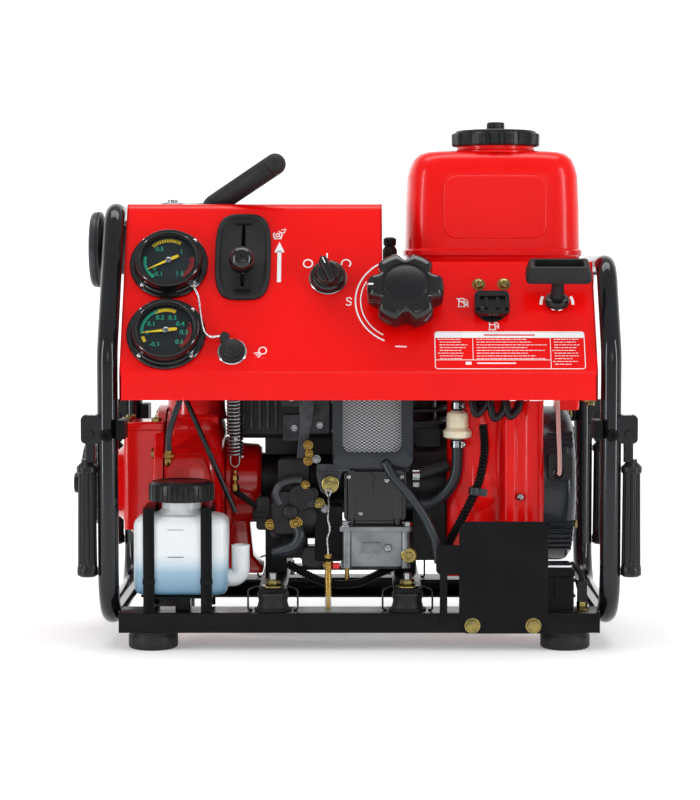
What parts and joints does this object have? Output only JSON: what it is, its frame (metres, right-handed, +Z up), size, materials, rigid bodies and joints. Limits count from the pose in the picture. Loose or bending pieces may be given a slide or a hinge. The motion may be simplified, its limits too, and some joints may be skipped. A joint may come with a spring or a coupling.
{
  "type": "portable fire pump",
  "caption": "Engine-driven portable fire pump in a tubular carrying frame with control panel, recoil starter, fuel tank and side discharge valve.",
  "frame": {"origin": "middle of the bottom of the whole machine's box, on the floor", "axes": "+X from the pump to the hand starter, +Y from the control panel to the back, +Z up"},
  "size_m": [0.617, 0.3242, 0.5674],
  "materials": {
    "red_paint": "gloss",
    "black_paint": "gloss",
    "black_plastic": "satin",
    "rubber": "matt",
    "dark_casting": "sand cast",
    "aluminium": "as cast",
    "steel": "zinc plated",
    "grey_paint": "satin",
    "bronze": "machined",
    "lens": "clear",
    "needle_yellow": "matt",
    "white_plastic": "translucent",
    "cream_plastic": "satin",
    "rope": "braided"
  },
  "bodies": {
    "frame": {"side_hoop_left": "black_paint", "side_hoop_right": "black_paint", "front_base_rail": "black_paint", "rear_base_rail": "black_paint", "engine_cradle": "black_paint", "battery_guard": "black_paint", "foot_front_left": "rubber", "foot_front_right": "rubber", "foot_rear_left": "rubber", "foot_rear_right": "rubber", "engine_mount_front_left": "rubber", "engine_mount_front_right": "rubber", "engine_mount_rear_left": "rubber", "engine_mount_rear_right": "rubber", "control_panel": "red_paint", "fan_shroud": "red_paint", "pump_casing": "red_paint", "suction_cover": "red_paint", "fuel_tank": "red_paint", "vacuum_gauge_body": "black_plastic", "pressure_gauge_body": "black_plastic", "intake_silencer": "black_plastic", "carburettor": "black_plastic", "battery": "black_plastic", "wiring_conduit": "black_plastic", "vacuum_gauge_lens": "lens", "pressure_gauge_lens": "lens", "primer_bezel": "rubber", "fuel_hose": "rubber", "primer_spring": "steel", "starter_rope": "rope", "recoil_housing": "grey_paint", "cylinder": "aluminium", "float_bowl": "aluminium", "discharge_valve": "aluminium", "crankcase": "dark_casting", "muffler": "dark_casting", "vacuum_pump": "dark_casting", "oil_tank": "white_plastic", "fuel_filter": "cream_plastic"},
    "carry_handle_front_left_body": {"carry_handle_front_left": "black_plastic"},
    "carry_handle_front_right_body": {"carry_handle_front_right": "black_plastic"},
    "carry_handle_rear_left_body": {"carry_handle_rear_left": "black_plastic"},
    "carry_handle_rear_right_body": {"carry_handle_rear_right": "black_plastic"},
    "discharge_lever_body": {"discharge_lever": "black_plastic"},
    "primer_lever_body": {"primer_lever": "black_plastic"},
    "main_switch_body": {"main_switch_knob": "black_plastic"},
    "throttle_body": {"throttle_dial": "black_plastic"},
    "fuel_cock_body": {"fuel_cock_lever": "black_plastic"},
    "lamp_cap_body": {"lamp_socket_cap": "rubber"},
    "starter_grip_body": {"starter_grip": "rubber"},
    "recoil_pulley_body": {"recoil_pulley": "black_plastic"},
    "rotor_body": {"crankshaft": "steel", "flywheel_fan": "aluminium", "impeller": "bronze"},
    "vacuum_needle_body": {"vacuum_gauge_needle": "needle_yellow"},
    "pressure_needle_body": {"pressure_gauge_needle": "needle_yellow"},
    "fuel_cap_body": {"fuel_cap": "black_plastic"},
    "oil_cap_body": {"oil_cap": "black_plastic"},
    "suction_cap_body": {"suction_cap": "black_plastic"}
  },
  "joints": [
    {"name": "carry_handle_front_left_fold", "type": "hinge", "parent": "frame", "child": "carry_handle_front_left_body", "pos_m": [-0.27415, -0.14034, 0.23], "axis": [0, 1, 0], "range_deg": [0, 90]},
    {"name": "carry_handle_front_right_fold", "type": "hinge", "parent": "frame", "child": "carry_handle_front_right_body", "pos_m": [0.29506, -0.14034, 0.23], "axis": [0, -1, 0], "range_deg": [0, 90]},
    {"name": "carry_handle_rear_left_fold", "type": "hinge", "parent": "frame", "child": "carry_handle_rear_left_body", "pos_m": [-0.27415, 0.14866, 0.23], "axis": [0, 1, 0], "range_deg": [0, 90]},
    {"name": "carry_handle_rear_right_fold", "type": "hinge", "parent": "frame", "child": "carry_handle_rear_right_body", "pos_m": [0.29506, 0.14866, 0.23], "axis": [0, -1, 0], "range_deg": [0, 90]},
    {"name": "discharge_lever_turn", "type": "hinge", "parent": "frame", "child": "discharge_lever_body", "pos_m": [-0.19654, -0.00134, 0.472], "axis": [0, 0, 1], "range_deg": [0, 90]},
    {"name": "primer_lever_pull", "type": "hinge", "parent": "frame", "child": "primer_lever_body", "pos_m": [-0.11455, -0.01504, 0.37708], "axis": [-1, 0, 0], "range_deg": [0, 24], "stiffness_Nm_per_rad": 2, "springref_deg": -20.05, "deforming": ["primer_spring"]},
    {"name": "main_switch_turn", "type": "hinge", "parent": "frame", "child": "main_switch_body", "pos_m": [-0.02295, -0.09534, 0.39399], "axis": [0, -0.866, 0.5], "range_deg": [-45, 45]},
    {"name": "throttle_turn", "type": "hinge", "parent": "frame", "child": "throttle_body", "pos_m": [0.05946, -0.10934, 0.36975], "axis": [0, -0.866, 0.5], "range_deg": [-20, 95]},
    {"name": "fuel_cock_turn", "type": "hinge", "parent": "frame", "child": "fuel_cock_body", "pos_m": [0.15146, -0.11334, 0.36282], "axis": [0, -0.866, 0.5], "range_deg": [0, 90]},
    {"name": "lamp_cap_pull", "type": "slide", "parent": "frame", "child": "lamp_cap_body", "axis": [0, -0.866, 0.5], "range_m": [0, 0.03]},
    {"name": "starter_pull", "type": "slide", "parent": "frame", "child": "starter_grip_body", "axis": [0, -0.5, 0.866], "range_m": [0, 0.45], "stiffness_N_per_m": 20, "springref_m": -0.2},
    {"name": "recoil_pulley_turn", "type": "hinge", "parent": "frame", "child": "recoil_pulley_body", "pos_m": [0.22646, 0.00866, 0.164], "axis": [1, 0, 0], "range_deg": [-500, 0]},
    {"name": "rotor_spin", "type": "hinge", "parent": "frame", "child": "rotor_body", "pos_m": [0.06045, 0.00866, 0.164], "axis": [1, 0, 0], "continuous": true},
    {"name": "vacuum_needle_turn", "type": "hinge", "parent": "frame", "child": "vacuum_needle_body", "pos_m": [-0.19404, -0.09503, 0.41252], "axis": [0, -0.866, 0.5], "range_deg": [-252, 18], "stiffness_Nm_per_rad": 0.001},
    {"name": "pressure_needle_turn", "type": "hinge", "parent": "frame", "child": "pressure_needle_body", "pos_m": [-0.19404, -0.13763, 0.33874], "axis": [0, -0.866, 0.5], "range_deg": [-232, 38], "stiffness_Nm_per_rad": 0.001},
    {"name": "fuel_cap_unscrew", "type": "hinge", "parent": "frame", "child": "fuel_cap_body", "pos_m": [0.16346, 0.01866, 0.5403], "axis": [0, 0, 1], "continuous": true},
    {"name": "oil_cap_unscrew", "type": "hinge", "parent": "frame", "child": "oil_cap_body", "pos_m": [-0.17954, -0.11554, 0.157], "axis": [0, 0, 1], "continuous": true},
    {"name": "suction_cap_unscrew", "type": "hinge", "parent": "frame", "child": "suction_cap_body", "pos_m": [-0.28954, 0.00866, 0.164], "axis": [1, 0, 0], "continuous": true}
  ],
  "couplings": [
    {"joint": "recoil_pulley_turn", "follows": "starter_pull", "rad_per_m": -17.86}
  ]
}
